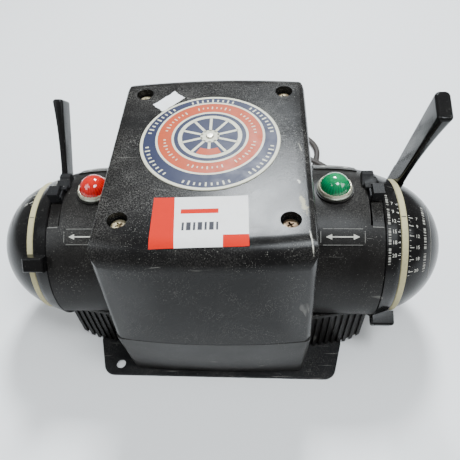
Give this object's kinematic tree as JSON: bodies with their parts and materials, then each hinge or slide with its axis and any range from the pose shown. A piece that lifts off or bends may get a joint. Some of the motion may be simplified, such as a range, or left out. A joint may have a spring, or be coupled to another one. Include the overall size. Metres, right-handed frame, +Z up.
{
  "type": "train set controller",
  "caption": "Twin-throttle mains controller for a toy railway: tall black casing between two round wings with levers, dial rings, rocking keys and jewel lamps.",
  "frame": {"origin": "centre of the base plate's underside, straight below both control shafts", "axes": "+X to the right-hand wing along the shafts, +Y to the back with the terminals and the lead, +Z up"},
  "size_m": [0.28, 0.2671, 0.1673],
  "materials": {
    "black_moulding": "glossy, dusty and worn",
    "black_steel": "satin black enamel",
    "cream_ring": "aged cream",
    "brass": "tarnished",
    "plated_steel": "dull plated",
    "nickel_bezel": "worn nickel",
    "red_jewel": "clear red",
    "green_jewel": "clear green",
    "bulb_glass": "clear",
    "nameplate_print": "printed navy, orange and cream",
    "paper": "matt paper",
    "silicon_steel": "varnished laminations",
    "copper": "enamelled copper",
    "phenolic": "brown laminate",
    "carbon": "dull carbon",
    "cord_rubber": "aged brown-black rubber",
    "spring_steel": "bright"
  },
  "bodies": {
    "casing": {"base_plate": "black_steel", "binding_posts": "brass", "case_nuts": "plated_steel", "circuit_breaker": "phenolic", "coil_bobbin": "phenolic", "coil_winding": "copper", "cord_coil": "cord_rubber", "cover_screws": "plated_steel", "laminated_core": "silicon_steel", "left_contact_tracks": "copper", "left_index_ring": "cream_ring", "left_jewel_bezel": "nickel_bezel", "left_jewel_lens": "red_jewel", "left_key_spring": "spring_steel", "left_lamp_bulb": "bulb_glass", "left_lamp_socket": "brass", "left_shaft_bracket": "plated_steel", "left_wing_housing": "black_moulding", "lower_casing": "black_moulding", "nameplate": "nameplate_print", "nameplate_screw": "brass", "paper_labels": "paper", "plug_blades": "brass", "plug_body": "cord_rubber", "power_cord": "cord_rubber", "rectifier_stack": "copper", "right_contact_tracks": "copper", "right_index_ring": "cream_ring", "right_jewel_bezel": "nickel_bezel", "right_jewel_lens": "green_jewel", "right_key_spring": "spring_steel", "right_lamp_bulb": "bulb_glass", "right_lamp_socket": "brass", "right_shaft_bracket": "plated_steel", "right_wing_housing": "black_moulding", "strain_relief": "cord_rubber", "terminal_board": "phenolic", "thumb_nuts": "plated_steel", "top_cover": "black_moulding"},
    "left_throttle": {"left_throttle_dome": "black_moulding", "left_throttle_lever": "black_moulding", "left_throttle_shaft": "plated_steel", "left_throttle_arm": "brass"},
    "left_throttle_roller": {"left_throttle_roller": "carbon"},
    "left_dial": {"left_dial_ring": "black_moulding", "left_dial_sleeve": "plated_steel", "left_dial_arm": "brass"},
    "left_dial_roller": {"left_dial_roller": "carbon"},
    "left_key": {"left_direction_key": "black_moulding"},
    "right_throttle": {"right_throttle_dome": "black_moulding", "right_throttle_lever": "black_moulding", "right_throttle_shaft": "plated_steel", "right_throttle_arm": "brass"},
    "right_throttle_roller": {"right_throttle_roller": "carbon"},
    "right_dial": {"right_dial_ring": "black_moulding", "right_dial_sleeve": "plated_steel", "right_dial_arm": "brass"},
    "right_dial_roller": {"right_dial_roller": "carbon"},
    "right_key": {"right_direction_key": "black_moulding"}
  },
  "joints": [
    {"name": "left_throttle_turn", "type": "hinge", "parent": "casing", "child": "left_throttle", "pos_m": [0, 0, 0.0585], "axis": [-1, 0, 0], "range_deg": [-76.6, 3.4]},
    {"name": "left_dial_turn", "type": "hinge", "parent": "casing", "child": "left_dial", "pos_m": [0, 0, 0.0585], "axis": [-1, 0, 0], "range_deg": [-100, 4]},
    {"name": "left_key_rock", "type": "hinge", "parent": "casing", "child": "left_key", "pos_m": [0, 0, 0.0585], "axis": [-1, 0, 0], "range_deg": [-12, 12], "stiffness_Nm_per_rad": 0.4},
    {"name": "left_throttle_roll", "type": "hinge", "parent": "left_throttle", "child": "left_throttle_roller", "pos_m": [-0.0508, 0.0253, 0.07162], "axis": [0, 0.8878, 0.4602], "range_deg": [-33.3, 728.7]},
    {"name": "left_dial_roll", "type": "hinge", "parent": "left_dial", "child": "left_dial_roller", "pos_m": [-0.0673, -0.01755, 0.03604], "axis": [0, -0.6157, -0.788], "range_deg": [-39, 951]},
    {"name": "right_throttle_turn", "type": "hinge", "parent": "casing", "child": "right_throttle", "pos_m": [0, 0, 0.0585], "axis": [-1, 0, 0], "range_deg": [-14, 66]},
    {"name": "right_dial_turn", "type": "hinge", "parent": "casing", "child": "right_dial", "pos_m": [0, 0, 0.0585], "axis": [-1, 0, 0], "range_deg": [-37, 67]},
    {"name": "right_key_rock", "type": "hinge", "parent": "casing", "child": "right_key", "pos_m": [0, 0, 0.0585], "axis": [-1, 0, 0], "range_deg": [-12, 12], "stiffness_Nm_per_rad": 0.4},
    {"name": "right_throttle_roll", "type": "hinge", "parent": "right_throttle", "child": "right_throttle_roller", "pos_m": [0.0508, 0, 0.087], "axis": [0, 0, 1], "range_deg": [-134, 628]},
    {"name": "right_dial_roll", "type": "hinge", "parent": "right_dial", "child": "right_dial_roller", "pos_m": [0.0673, 0.01205, 0.03267], "axis": [0, 0.4226, -0.9063], "range_deg": [-352.5, 637.5]}
  ],
  "couplings": [
    {"joint": "left_throttle_roll", "follows": "left_throttle_turn", "ratio": -9.5},
    {"joint": "left_dial_roll", "follows": "left_dial_turn", "ratio": -9.5},
    {"joint": "right_throttle_roll", "follows": "right_throttle_turn", "ratio": 9.5},
    {"joint": "right_dial_roll", "follows": "right_dial_turn", "ratio": 9.5}
  ]
}
